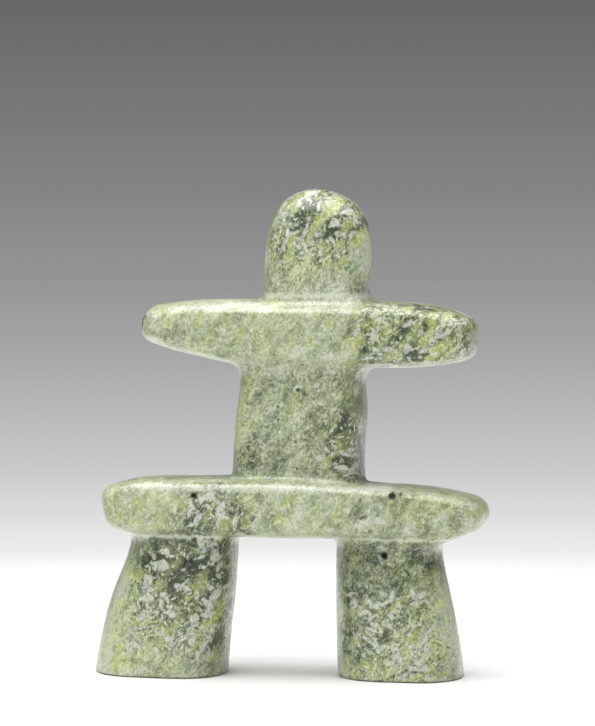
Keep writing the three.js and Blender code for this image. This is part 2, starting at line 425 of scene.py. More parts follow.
points, quads = carve()
carvedMesh = bpy.data.meshes.new("carvedInukshuk")
carvedMesh.from_pydata(points.tolist(), [], quads.tolist())
cutWhereFine(carvedMesh)
points = np.array([v.co for v in carvedMesh.vertices], dtype=float)
settle(points)
print("carved", len(points), "points")
slope = slopeAt(points, outsideFigure(*points.T))
outward = slope / np.maximum(np.linalg.norm(slope, axis=1), 1e-6)[:, None]
outward[points[:, 2] < 0.05] = 0  # the soles stay flat
lift = np.array([handWork(Vector(p)) for p in points])
points += outward * lift[:, None]
carvedMesh.vertices.foreach_set("co", (points * mm).ravel())
carvedMesh.polygons.foreach_set("use_smooth", [True] * len(carvedMesh.polygons))
carvedMesh.update()
figure = bpy.data.objects.new("carvedInukshuk", carvedMesh)
bpy.context.scene.collection.objects.link(figure)
print("hand work done:", len(carvedMesh.polygons), "faces")


# The stone

serpentine = {
    # From the darkest grain to the palest
    "grains": [
        (0.0, colour(54, 64, 44)), (0.2, colour(97, 109, 81)), (0.42, colour(144, 154, 123)),
        (0.62, colour(180, 187, 154)), (0.88, colour(214, 217, 197)),
    ],
    "lens": colour(168, 180, 104),
    "lensPale": colour(200, 208, 144),
    "chip": colour(216, 219, 204),
    "dark": colour(60, 72, 42),
    "pit": colour(18, 20, 14),
    "warm": (1.0, 1.0, 0.7, 1.0),
    "cool": (0.93, 1.0, 0.95, 1.0),
    "stirs": [(8.0, 1.6), (1.6, 0.4)],  # size and push of the noise that bends the streaks
    "streakAngle": 58,
    "streakSlant": 14,  # how far the streaks turn about the upright too
    "stretches": (2.0, 1.35, 1.3),  # of the streaks, the grain and the crystals along the streaks
    "grainSizes": (0.62, 0.8, 2.0),  # crystals, grains and the flakes that they lie in
    "driftSize": 6.5,
    "bandSize": 3.0,
    "hueSize": 5.5,
    "seamSize": 4.5,
    "lensSize": 4.6,
    "clusterSize": 9.0,
    "chipSizes": (2.4, 1.3),
    "chipShade": (-0.28, 0, 0.28),  # the way and how far the painted shadow of a chip lies from it
    "markWaves": [(2.8, 0.8), (1.3, 0.7)],  # size and push of the unevenness of the marks
    "markSeed": 4,
    "mostPush": 1.5,  # the waves move a mark by its half width at most, and never by more than this
    "markReach": 9.0,  # farther off than this all places count alike
    "marksEnd": -8,  # how far back the marks go
    "highlightBandFade": 6,  # over which a painted highlight band begins and ends
    "patchTones": {"yellow": 0.08, "pale": 0.18, "dark": -0.25},  # how much lighter each kind is
    "backBegins": (-12.0, 2.0),  # from where to where the pattern turns into that of the other sides
    "backPatchSize": 34.0,
    "calmFade": 2.0,  # over which the calm stones begin and end
    "soleLine": colour(74, 64, 44),
    "soleLineEnds": (0.7, 0.3),  # heights at which the line along the sole ends and is full
    "shade": 0.785,  # all the colours but the painted highlight bands, the sole line and the pits are darkened by this
    "roughness": (0.28, 0.4),
    "coat": 0.32,
    "coatRoughness": 0.2,
    "refraction": 1.56,
    "bump": (0.5, 0.06),  # strength and height
}

# Where it is lighter than elsewhere, or with a minus darker: middle, radius and how much. This is partly
# the stone's own tone and partly painted light and shade
# painted shade on the legs' tops under the hips and on the torso's right side, painted light on the outer
# edges of the legs, torso and head
toneAndPaintedLightZones = [
    ((-38, -18, 43), 17, -0.3),
    ((38, -18, 42), 19, -0.18),
    ((28, -12, 89), 15, -0.34),
    ((50, -14, 124), 12, -0.06),
    ((16, -12, 164), 13, -0.1),
    ((60, -14, 62), 16, -0.04),
    ((10, -14, 146), 15, 0.12),
    ((-58, -16, 6), 20, 0.1),
    ((42, -16, 8), 20, 0.1),
    ((60, -8, 22), 17, 0.36),
    ((-66, -8, 14), 14, 0.22),
    ((-60, -8, 33), 11, 0.34),
    ((29, -8, 157), 9, 0.5),
    ((-9, -8, 157), 7, 0.2),
    ((-20, -8, 94), 12, 0.25),
    ((6, -12, 173), 6, -0.3),
    ((33, -18, 106), 12, -0.14),
    ((50, -10, 135), 9, -0.25),
]

# The stones that are paler and calmer, from which height to which
calmBands = [(51, 74), (114, 140)]

# Painted highlights, pale and speckled, where a stone meets the next and along the hips' shoulder: the lit
# fillet under the head, the hips' lower edge lit from the floor and the sheen on the hips' shoulder;
# height, half thickness, middle, half length and strength
paintedHighlightBands = [
    (140.4, 1.7, 10.3, 24, 1.0),
    (52.0, 1.1, -46, 28, 1.0),
    (51.8, 1.0, 40, 26, 1.0),
    (70.2, 2.6, -8, 52, 0.85),
]

# The marks that show on the front: across, up, half length, half width and tilt
marks = {
    "yellow": [
        # arms
        (53.9, 131.2, 3.3, 2, 83), (51.8, 124.5, 2.6, 1.3, 60), (53.3, 127, 2, 1.2, 75),
        (55.5, 120.3, 5.2, 1.7, 46), (39.8, 118.5, 3.3, 1.1, 20), (45.8, 125.4, 6.2, 0.9, 56),
        (58.8, 132.4, 1, 1, 0), (34.4, 131.2, 2.2, 1.1, 60), (44.3, 135.7, 1.5, 1, 0),
        (26, 133, 2.5, 1.2, 60), (-31.2, 131.6, 3, 0.9, 60), (-43.8, 130.7, 1.5, 1.2, 0),
        (-16.3, 127.6, 1.5, 1, 45), (-17, 123.5, 3, 0.8, 60), (-11.6, 131.8, 2, 1, 40),
        (16.2, 130.2, 3, 0.8, 40), (26.7, 123.5, 2.5, 1.6, 20),
        # head
        (3, 173.6, 3.4, 2.4, 30), (2.5, 171.5, 2, 1, 60), (7, 177.6, 2.5, 1.2, 30),
        (15.2, 170.8, 7.2, 2.3, 52), (10.5, 164.2, 4.5, 1.1, 55), (2, 159, 3.3, 1.3, 75),
        (1.2, 153.6, 3, 1.5, 70), (13.7, 158.7, 1.8, 1, 70), (19.7, 159, 2.2, 1.2, 60),
        (22.8, 166.2, 2.6, 1.1, 75), (27, 162, 4.2, 1.4, 60), (15.7, 152, 2.3, 1.1, 85),
        (21.2, 153.3, 2, 1.5, 70), (25, 170.7, 2, 1, 70), (-5, 167, 1.5, 0.8, 60),
        (27.5, 147.3, 1.6, 1, 60), (30, 155, 3, 1, 90),
        # torso
        (25.2, 98.2, 4.4, 1.7, 85), (22.2, 87.5, 4, 2.8, 75), (17.6, 82, 3.2, 0.8, 50),
        (15.7, 79.5, 2.5, 1.2, 60), (26.3, 82.3, 1.5, 1, 50), (28, 85.3, 2.2, 0.9, 60),
        (25.8, 102.5, 2, 1, 60), (25.8, 94.5, 1.5, 1, 80), (19.3, 86.3, 2.5, 0.8, 90),
        (-1.2, 96.5, 1, 1, 0), (17.3, 107.7, 1.5, 1.2, 60), (-8.6, 111.8, 1.6, 0.8, 60),
        (-17, 100.2, 3, 1.2, 45), (-18, 88.5, 3, 1.8, 60), (26.2, 106.6, 1.8, 1, 0),
        # hips
        (-54.2, 63.6, 2.4, 1.9, 80), (-36, 64.7, 3.2, 1.2, 45), (-48, 55.8, 3.5, 1.2, 10),
        (-44, 56.5, 3, 1.2, 40), (-27.6, 60.7, 3.4, 1.1, 58), (-22, 57, 3.4, 1.4, 45),
        (-23.2, 53.3, 2.4, 1, 20), (-13.2, 59.5, 3.5, 1.2, 70), (-12.5, 62.5, 3, 1.2, 75),
        (-11.5, 66.7, 2.5, 1, 60), (3.9, 67.6, 2, 1.2, 20), (-0.3, 64.3, 1.8, 0.8, 80),
        (20.6, 58.8, 2.8, 1, 85), (-9, 73.2, 1.5, 1, 0), (49.3, 68, 2, 0.8, 85), (55.8, 64, 1.8, 0.9, 70),
        (53.8, 62.4, 1.5, 0.9, 0), (61.9, 59.9, 1.2, 1, 0), (73, 64.5, 2, 1, 0), (52.3, 52.6, 3.2, 1, 15),
        (47, 51.8, 2.2, 0.8, 10),
        # legs
        (-41.8, 40.3, 4, 1.2, 45), (-46.6, 33, 3, 1, 60), (-31, 34.4, 4, 2.6, 75),
        (-29.2, 39.2, 1.7, 1.3, 70), (-54.3, 37.5, 2.3, 2.2, 0), (-22.6, 29.3, 3.6, 0.8, 60),
        (-24, 52, 1.8, 1.2, 0), (-45.3, 26.6, 1, 1, 0), (-51.1, 20.5, 2, 0.9, 50),
        (-43.7, 17, 1.5, 0.9, 30), (-46.5, 13.8, 3, 1.2, 40), (-49.6, 10, 2.5, 1.2, 70),
        (-39.8, 19, 4.5, 1.2, 60), (-31.3, 17.2, 4.5, 1.3, 55), (-26.3, 21.7, 4, 1.1, 60),
        (-24.8, 25.5, 2.2, 0.8, 60), (-32.8, 12, 2, 0.8, 50), (-26, 8.6, 3, 1.4, 75),
        (-62.3, 7.5, 2.5, 1.2, 60), (-60.5, 16.8, 2.5, 1, 70), (-60.9, 11.5, 2.5, 1.2, 70),
        (-63.5, 4, 2, 1, 60), (-56.5, 3.5, 2, 1, 60), (-38.4, 7.5, 2.2, 0.8, 60),
        (45.6, 32, 1.8, 0.7, 70), (42.5, 30, 1.5, 1, 0), (41, 28, 2, 0.8, 60), (51, 52, 3, 1, 20),
        (41.7, 17.5, 2.3, 0.9, 62), (25.8, 14, 2.4, 1.3, 50), (45, 11.8, 2.2, 1.2, 80),
        (50.7, 7.8, 2.2, 0.6, 68), (54.3, 5.5, 1.2, 0.9, 60), (38.4, 3.8, 3, 1.2, 65),
        (48.7, 2, 2.2, 1, 40), (28.7, 7, 2, 0.8, 60), (22.8, 5, 1.8, 1.2, 60), (46.2, 8, 2.2, 0.5, 55),
        (58.2, 3, 1.5, 1, 0), (26, 2, 2, 0.8, 0),
    ],
    "pale": [
        # arms
        (45.8, 130.3, 2, 0.8, 15), (49.7, 126.8, 1.6, 0.9, 65), (45.4, 121.2, 1.6, 1, 50),
        (50.8, 120.6, 1.6, 0.8, 5), (54.2, 124, 1.7, 1, 70), (57.3, 126.5, 2.2, 1.5, 150),
        (57.7, 130, 1.2, 0.8, 80), (60.9, 130.2, 1.8, 0.5, 0), (64.8, 120, 1.8, 0.8, 60),
        (32.6, 125.8, 1.6, 1, 60), (33.6, 128, 1.4, 0.9, 20), (33, 133.3, 1.2, 0.8, 50),
        (38.3, 121.2, 1.9, 0.7, -8), (27.1, 127.6, 1.4, 0.6, 45),
        # head
        (-1.5, 170, 2.2, 1.3, 130), (-0.8, 166.8, 1.8, 1, 100), (12, 172.8, 2.3, 0.5, 80),
        (8.8, 168.5, 1, 0.8, 0), (8.4, 166.2, 2, 0.6, 80), (7, 163.2, 2.2, 0.7, 60),
        (3, 163, 1.6, 0.6, 15), (0.5, 162, 2.6, 0.6, 80), (-1, 158, 2.2, 0.4, 70), (4.8, 158, 1, 0.9, 0),
        (22.3, 171, 1.9, 1.1, 0), (18.2, 167, 1.4, 1.2, 0), (19.9, 165.9, 1.8, 0.5, -5),
        (20.2, 163, 1.4, 0.7, -10), (17, 160.6, 1.4, 0.8, -60), (25.3, 166.9, 1.8, 0.8, 100),
        (24.3, 163, 1.6, 0.8, 40), (11.7, 162.2, 1, 0.8, 0), (12.9, 156, 1, 0.8, 70),
        (26, 156.6, 1.5, 0.7, 30),
        # torso
        (28.2, 92.8, 2.6, 1.4, 75), (29, 97.8, 2.4, 0.9, 85), (24.2, 84.2, 1.2, 0.7, 10),
        (21.7, 82.7, 1.6, 0.8, -25), (23.8, 82.2, 1.6, 0.7, 0), (20.7, 77.7, 2.2, 0.9, -10),
        (24.5, 77.2, 2.2, 1.1, 40), (23.2, 75.3, 1.8, 0.5, 15), (12.7, 81.2, 1.4, 0.9, 10),
        (-6.3, 98.3, 1.6, 0.9, 50), (4.7, 107, 1.8, 0.5, 10), (17.6, 112.3, 1, 0.8, 0),
        (25.4, 104.8, 1.4, 0.6, 90),
        # hips
        (-58, 65, 1.5, 0.8, 40), (-40, 62, 1.7, 0.6, 80), (-28, 67, 3.8, 1.6, 10),
        (-34, 62.8, 1.6, 0.9, 60), (-33, 61.8, 1.6, 0.9, -20), (-31.4, 58.8, 2.4, 0.8, 60),
        (-33.2, 56.6, 2.2, 0.5, 15), (-23.4, 64.4, 1.9, 1.1, -60), (-22.8, 61, 1.7, 1.1, 0),
        (-17.5, 58, 3.2, 0.6, 80), (-15.6, 53.3, 1.8, 0.5, -5), (-10.2, 56.2, 0.9, 0.9, 0),
        (-8.2, 61, 3.6, 0.35, 62), (-5.6, 65.7, 2.8, 0.5, 72), (17.5, 55.8, 1.2, 0.8, 0),
        (35.8, 58.8, 1.7, 0.9, 15), (35.6, 61.5, 3.2, 0.35, 42),
        # legs
        (-44.2, 46.8, 1.7, 1, 10), (-46, 41.8, 3.4, 1.4, 0), (-45.7, 40.3, 1.6, 0.8, 0),
        (-49, 44.9, 1.6, 0.7, -40), (-30.1, 49.5, 2, 1.3, -30), (-27.4, 49.2, 2.4, 0.8, 0),
        (-26, 44.5, 1.8, 1.7, 0), (-24.5, 40.8, 1.8, 0.8, 70), (-50.6, 36.2, 1.7, 1.3, 80),
        (-50.8, 32.6, 2.2, 1.5, 0), (-51, 29, 2.9, 1.3, 10), (-39.4, 33.9, 1.6, 1.1, -20),
        (-36.1, 34.3, 2, 1.5, 20), (-27.4, 33.5, 1.3, 0.9, -30), (-25.7, 30.4, 2.4, 1.2, 40),
        (-28.2, 26.9, 1.7, 1.4, 0), (-44.6, 30.8, 1.2, 0.7, 20), (-42.6, 28.5, 2.3, 0.6, -55),
        (-23.5, 33, 1.5, 0.6, 25), (-53.2, 22.5, 1.6, 1.3, 30), (-41.6, 23.8, 1.7, 1.1, -40),
        (-42.1, 26.8, 1.2, 0.8, 0), (-32.7, 21.6, 2.3, 1.4, 60), (-33.9, 13.8, 1.6, 1.2, 0),
        (-41.7, 13.9, 2.1, 1.4, -10), (-52, 18.5, 4, 0.4, 10), (-49.6, 22.5, 1.5, 0.6, -15),
        (-54.6, 12, 1.6, 1, -40), (-47.5, 10.3, 1.1, 0.8, 0), (-31.9, 8.6, 1.4, 0.9, 80),
        (-34.1, 6.2, 1.2, 0.7, 10), (-28.9, 13, 2, 0.4, 40), (-27.2, 17, 1, 0.8, 60),
        (-29.1, 23.3, 1.3, 0.8, -30), (36.6, 32, 1.5, 0.7, -15), (40.3, 32, 1.6, 1, 80),
        (47.3, 32.6, 2.6, 0.9, -65), (50.2, 31.8, 2.2, 0.9, 20), (24, 31.5, 2, 0.6, 10),
        (25.6, 28, 1.6, 1.2, 0), (33.6, 27.3, 1, 0.8, 0), (31.2, 29.2, 1.5, 0.7, -40),
        (36, 28.3, 1.5, 0.6, -10), (38.3, 29.2, 2, 0.5, 30), (51.3, 29, 1.6, 0.8, 0),
        (48, 28.7, 1.2, 0.8, 0), (32, 23.4, 1.5, 0.8, 80), (39.7, 23.7, 1.9, 0.6, -40),
        (37.7, 20.9, 2, 0.9, -30), (32.5, 18.9, 2.2, 0.5, -15), (28.7, 16.8, 1.8, 0.7, -20),
        (31.2, 14.9, 2.5, 0.6, -35), (34.9, 12.7, 2, 1.4, -10), (41.4, 12, 1.8, 1, 0),
        (41.7, 8.5, 3.7, 1.1, 8), (38.6, 7, 1.2, 0.7, 30), (43.7, 2.3, 2.5, 0.7, 25),
        (47.7, 5.6, 1.8, 0.5, -20), (50, 4.8, 2, 0.4, 0), (52.2, 5.5, 1.2, 1, 60), (52.7, 2, 1.5, 1, 0),
        (50.7, 23.9, 2, 0.4, 70),
    ],
    "dark": [
        # arms
        (46.6, 132.2, 2, 1, -5), (44.6, 128.2, 1.6, 0.8, -35), (51.3, 129.7, 3.4, 0.6, 85),
        (48.5, 123.6, 3, 0.7, 50), (50.6, 119.1, 3.5, 0.9, 28), (46.1, 117.6, 3.5, 1.3, 15),
        (60.6, 126.4, 1.6, 0.9, 60), (58.2, 124.5, 2.2, 0.4, 0), (43.1, 126.4, 2.2, 0.6, 60),
        (39.2, 122.3, 2.2, 0.35, 10), (53, 121.8, 1.3, 0.6, 60), (33.3, 118.8, 2.5, 0.9, 25),
        (66.3, 121.5, 1.8, 0.7, 75), (63.9, 131.5, 1.8, 0.4, 130), (40.4, 117.3, 2.4, 0.35, 25),
        (53, 137, 1.8, 0.6, -15), (-53.8, 131.5, 4.5, 1.4, 85), (24, 127.7, 2, 0.8, 60),
        # head
        (9.7, 167.2, 1.6, 0.6, 80), (16, 166, 2.8, 0.8, 50), (21.5, 169, 1.8, 0.5, 0),
        (19.6, 164.8, 2.2, 0.5, 5), (15.5, 163, 1.5, 0.6, 90), (2.4, 163.9, 0.9, 0.8, 90),
        (25.5, 163.5, 1.6, 0.5, 70), (27.8, 167, 1.8, 0.8, 70), (28, 170, 1.5, 0.7, -60),
        (22.3, 159, 1.6, 0.8, 80), (6.5, 167, 1.6, 0.8, 90), (8.2, 172.5, 2.2, 1.5, 0),
        # torso
        (23.9, 93.2, 1.2, 0.9, 0), (25.7, 91.4, 2.8, 1, -52), (26.6, 89, 1.8, 0.8, 120),
        (19.6, 91, 2.2, 1, 75), (21.2, 80.3, 2.8, 1, 10), (23, 77.8, 1, 0.7, 0), (17.4, 78, 2.5, 1.1, 30),
        (15.4, 83.5, 1.4, 1, 90), (27.5, 95, 1.2, 0.6, 90), (27.2, 97.5, 2.4, 0.6, 90),
        (28.8, 91.5, 2, 0.4, 80), (25.9, 85, 1.2, 0.8, 40), (27, 78, 1.2, 0.8, 0),
        (20.2, 76, 1.8, 0.5, 10), (28.5, 76, 1.5, 0.8, 0), (-13, 86.5, 1.2, 0.8, 0),
        (-7.9, 83, 1.8, 0.5, 20), (5.4, 77.5, 1, 0.8, 0),
        # hips
        (-31.7, 64.2, 1, 0.8, 0), (-29, 62.2, 2, 0.7, 55), (-24.3, 63.5, 1.2, 0.6, -70),
        (-25.4, 60.3, 2.2, 0.8, 70), (-34, 58.1, 1.5, 1, 0), (-18.8, 60.8, 2, 1.2, 70),
        (-16.2, 57.5, 2.5, 0.7, 80), (-13.5, 55, 2, 1, 0), (-27.8, 56, 2.2, 0.5, 30),
        (-21, 54, 1.2, 0.6, 0), (-49, 51.5, 1.5, 0.7, 0), (-43, 52.5, 1.5, 0.5, 0),
        (-13.2, 54.3, 2.5, 0.9, -5), (-10.4, 59.7, 2, 0.8, 60), (29, 60.2, 2, 0.8, 10),
        # legs
        (-34.2, 42.5, 1.9, 1.6, 0), (-48, 48, 1.8, 1.1, 70), (-49.5, 39, 1.5, 1.2, 0),
        (-48.4, 36.3, 1.3, 0.7, 80), (-39.6, 37.8, 1.8, 1.7, 90), (-41.8, 38, 2.2, 0.4, 45),
        (-39.5, 32, 2.5, 1, 0), (-28.9, 37.3, 1.4, 0.5, 0), (-33, 39, 3, 0.6, 40),
        (-28.8, 45.8, 3, 0.8, 75), (-25.5, 47, 1.4, 0.5, 20), (-21.8, 36, 3, 0.6, 80),
        (-22, 32, 1.6, 0.7, 10), (-28.2, 30.7, 1.8, 1, 80), (-30.5, 26.3, 1.2, 0.6, 80),
        (-21.6, 27, 3, 0.5, 80), (-48.5, 51, 2.5, 1, 0), (-25.2, 36.5, 1.6, 1.3, 0),
        (-52, 25.8, 1.2, 1, 0), (-44.2, 23.2, 1.3, 0.8, 0), (-30.7, 22.3, 1.8, 0.8, 70),
        (-22.8, 22.5, 2, 0.5, 95), (-24.2, 17, 1.5, 1, 0), (-26.5, 13.8, 2.8, 1.6, 30),
        (-33, 7.5, 1.4, 0.6, 60), (-25, 9.5, 2, 0.8, 80), (30.2, 39.5, 1.3, 0.8, 90),
        (27.7, 32.5, 1.8, 0.9, 100), (22, 33, 1.6, 1, 0), (32.8, 28.2, 1.5, 0.6, -10),
        (35, 34.2, 1.5, 0.6, 0), (45.7, 44, 1.2, 0.8, 0), (28, 28.2, 1.2, 0.8, 0), (32, 32, 1.5, 1, 0),
        (43, 33.6, 1.5, 0.5, 0), (37.5, 17.5, 1.8, 0.8, 70), (41, 21.6, 1.6, 0.6, 60),
        (43.2, 23.2, 1.8, 0.8, 60), (41.7, 10.3, 2, 0.35, 0), (47.4, 7.7, 1.7, 0.6, 60),
        (26.6, 9, 1.6, 1.2, 0), (22.3, 10, 1.5, 1, 0), (35.6, 8.8, 1.5, 0.8, 0),
        (48.4, 3.9, 1.8, 0.4, -15), (45.7, 4.4, 1.5, 0.5, 20), (41, 2.7, 2.2, 0.4, 20),
        (24.4, 17, 1.5, 1, 0), (21.6, 13.5, 2, 0.8, 90), (33.6, 22.5, 1.5, 0.5, 70),
        (27.5, 22.5, 1.5, 1, 0),
    ],
}

# Broader soft patches, written in the same way
patches = {
    "yellow": [
        # arms
        (27, 124.6, 3, 1.8, 40), (9.5, 124, 3.5, 1.4, 55), (-6.2, 121.4, 1.8, 1, 60),
        (-29, 123.5, 3, 1.8, 30), (-42.8, 131, 3, 1.8, 60), (-31.5, 131.6, 3.5, 1.6, 60),
        (-16.3, 126.5, 4.5, 1.4, 75), (41.4, 127.3, 2, 1.2, 70), (-25.4, 127.8, 1.6, 1, 0),
        # head
        (-2, 163, 4, 1.6, 80), (5, 150, 4, 2, 70),
        # torso
        (3, 101.5, 3.6, 1.4, 60), (2.2, 97.8, 2.4, 1.5, 60), (-13.3, 108.5, 3.2, 2.2, 60),
        (-11.6, 93, 3, 1.4, 70), (-17, 95, 5, 2, 85), (0, 106.7, 1.8, 1, 60), (-13.6, 104, 2, 1.3, 0),
        (23, 103.6, 2.4, 1.2, 50),
        # hips
        (-61.5, 60.8, 3.2, 2.6, 85), (-42, 67.2, 2.6, 1.4, 60), (-48, 68, 3.2, 1.6, 60),
        (-39.8, 64.2, 3, 1.8, 60), (1.5, 66, 3, 1.5, 60), (-0.6, 58.4, 2.6, 2.2, 0), (12, 63, 3, 1.4, 65),
        (19.5, 60.5, 4, 1.4, 78), (46, 62.5, 4, 2.6, 60), (50.2, 57, 2.4, 1.3, 80),
        (71, 61.4, 3, 1.8, 80), (-55, 57.5, 3, 1.8, 20),
        # legs
        (-38.5, 46.6, 3.2, 1.6, 80), (-35.6, 28, 3.2, 2.2, 60), (-52, 47, 1.8, 1.5, 0),
        (-62.5, 26.5, 2.4, 1.5, 0), (-65, 15, 6, 2.2, 75), (-61, 5, 5, 2.6, 20), (-59, 38, 4, 1.8, 70),
        (-56.3, 30.5, 2.8, 1.2, 70), (-43.2, 3, 2.4, 1.4, 60), (-53, 8, 3, 1.6, 60),
        (54.3, 38.3, 2.6, 1.4, 70), (58.8, 32, 2.6, 1.4, 80), (56, 27.5, 3, 2, 0),
        (40.5, 41.5, 2.8, 1.7, 60), (58.3, 9.8, 2.6, 1.3, 80), (53.5, 23.5, 2.4, 1.3, 70),
    ],
    "pale": [
        # arms
        (55.5, 120.5, 5, 1.8, 46), (51.8, 124.5, 2.6, 1.4, 60), (3, 121, 6, 2, 0),
        (-33, 121.5, 5, 1.5, -10), (-49, 124, 4, 1.5, -20), (20, 118, 5, 1.5, 0),
        # head
        (15.5, 171.5, 6, 2, 52),
        # torso
        (-2, 112.5, 8, 1.6, 0),
        # hips
        (7, 61, 3.6, 3, 60), (-48, 55.8, 3.6, 1.4, 10), (46.5, 56.5, 3, 1.5, 30),
        (55.5, 66.5, 2.6, 2, -50), (66.5, 57.5, 3, 1.6, 40), (28.6, 57.8, 2.4, 1.6, 20),
        (3.2, 56.5, 2, 1.2, 0), (-6, 62, 1.8, 1, 60),
        # legs
        (-58.8, 21.8, 2, 1.2, 0), (-31.1, 46.8, 3.2, 1.6, 85), (-34.6, 17.3, 3.4, 1.2, 85),
        (-22, 17, 2.5, 1.2, 80), (46.2, 41.2, 2, 1.1, -20), (52, 35.8, 2, 0.9, 0),
        (36.2, 49, 2.2, 1.2, 0), (25.5, 43, 2.6, 1.6, 80), (51.2, 13.6, 2, 0.9, -20),
        (32.8, 3.3, 2.5, 1.3, 20), (-57, 3, 5, 2, 0),
    ],
    "dark": [
        # arms
        (-41.5, 127, 3, 1.8, 60), (6.8, 123.5, 2.8, 1.4, 30), (24.4, 128.5, 4.5, 1.8, 75),
        (28.8, 118.7, 2.5, 1.8, 60), (43, 127.5, 3.4, 2.4, 60), (46.2, 119.8, 3, 2, 60),
        (-50, 126.5, 2.4, 1.4, 0),
        # head
        (8.4, 172.3, 3, 2, 20), (5, 169, 3, 1.6, 60), (17, 164.5, 4, 2.4, 55), (26, 166, 3, 2, 60),
        # torso
        (22.5, 91, 5, 2.6, 90), (20, 80, 4, 2.4, 30), (-10.4, 103, 2.6, 1.4, 60), (-11, 79, 3, 2.4, 0),
        (-15.4, 83.3, 2.4, 1.4, 60), (0, 104.5, 3, 1.4, 60), (-13, 99, 3, 1.6, 70),
        # hips
        (-30, 60, 4, 3, 60), (-14.5, 60, 4.5, 2.2, 65), (-22, 57, 3.4, 1.6, 45), (-6, 60, 4, 1.6, 70),
        (-8.3, 67, 2.8, 1.4, 110), (27, 62.3, 4, 2.2, 60), (35.5, 64.5, 3.6, 2.2, 60),
        (43.5, 64, 3.6, 2, 60), (62, 59.6, 2.8, 2.2, 80), (18.2, 57.5, 2, 1.3, 0), (33, 55.9, 3, 0.8, 45),
        (-39, 60, 2.6, 1.4, 60), (42, 66.8, 3, 1.7, 20),
        # legs
        (-39.8, 19, 4.5, 1.4, 60), (-46.5, 13.8, 3, 1.4, 40), (-29.2, 39.2, 1.8, 1.4, 70),
        (-41.8, 40.3, 4, 1.3, 45), (-34.2, 42.5, 3.4, 2.8, 0), (-47.2, 44.2, 2.4, 1.2, 0),
        (-40, 36, 4, 2.4, 60), (-24, 36, 4, 2.4, 80), (-25, 13, 4, 2.4, 80), (31.8, 44, 2.6, 2, 0),
        (54, 41.8, 2, 1.7, 0), (46.8, 47, 2.4, 1.8, 0), (25, 31, 4, 2.4, 60), (24, 18, 4, 2.4, 80),
        (37, 16.3, 3, 1.8, 60), (27, 9, 3, 2.4, 60),
    ],
}


def fallOff(points, middle, inner, outer):
    # 1 within the inner radius and 0 beyond the outer one, smooth between
    share = np.clip((outer - np.linalg.norm(points - middle, axis=1)) / (outer - inner), 0, 1)
    return share * share * (3 - 2 * share)


def turnedBack(points, across, up, tilt):
    # Where the points lie on the front, from a mark's middle and along its tilt
    turn = complex(math.cos(math.radians(tilt)), math.sin(math.radians(tilt)))
    return (points[:, 0] - across + 1j * (points[:, 2] - up)) / turn


def pushesAt(points):
    # How far noise moves each point, so that what is laid there has a ragged outline
    noise.seed_set(serpentine["markSeed"])
    waves = serpentine["markWaves"]
    return np.array([
        sum((noise.noise_vector(Vector(p) / size) * push for size, push in waves), Vector()) for p in points
    ])


def outsideMarks(points, pushes, ellipses):
    # About how far each point lies outside the nearest mark; the marks are on the front alone
    nearest = serpentine["markReach"]
    for across, up, long, wide, tilt in ellipses:
        place = turnedBack(points + pushes * min(wide, serpentine["mostPush"]), across, up, tilt)
        nearest = np.minimum(nearest, (np.hypot(place.real / long, place.imag / wide) - 1) * wide)
    return nearest + np.maximum(points[:, 1] - serpentine["marksEnd"], 0)


def inPatches(points, ellipses):
    # 1 in the middle of a patch, 0 outside it, smooth between
    inside = np.zeros(len(points))
    for across, up, long, wide, tilt in ellipses:
        place = turnedBack(points, across, up, tilt)
        share = np.clip(1.6 - np.hypot(place.real / long, place.imag / wide), 0, 1)
        inside = np.maximum(inside, share * share * (3 - 2 * share))
    return inside * (points[:, 1] < 0)


def layLayers(mesh, points):
    # What the material reads off the mesh: the marks, the patches, the painted highlight bands, the zones
    # with their painted light and shade, and the pits
    pushes = pushesAt(points)
    layers = {name: outsideMarks(points, pushes, ellipses) for name, ellipses in marks.items()}
    soft = {name: inPatches(points + pushes, ellipses) for name, ellipses in patches.items()}
    layers["warmth"] = soft["yellow"]
    layers["fringe"] = np.max([
        strength * np.exp(-(((points[:, 2] + pushes[:, 2] - level) / reach) ** 2))
        * np.clip((half - abs(points[:, 0] - middle)) / serpentine["highlightBandFade"], 0, 1)
        for level, reach, middle, half, strength in paintedHighlightBands
    ], axis=0)
    layers["coarse"] = np.max([
        fallOff(points, middle, radius * 0.6, radius * 1.3) for middle, radius in coarseZones
    ], axis=0)
    layers["lightness"] = np.sum([
        amount * fallOff(points, middle, radius * 0.4, radius * 1.4)
        for middle, radius, amount in toneAndPaintedLightZones
    ], axis=0)
    for name, amount in serpentine["patchTones"].items():
        layers["lightness"] += amount * soft[name]
    seen = (points + 0.3 * pushes) * (1, 0, 1)
    layers["pits"] = (points[:, 1] < 0) * np.max([
        darkening * fallOff(seen, (across, 0, up), radius * 0.7, radius * 1.4)
        for across, up, radius, depth, darkening in pits
    ], axis=0)
    for name, values in layers.items():
        mesh.attributes.new(name, "FLOAT", "POINT").data.foreach_set("value", values)


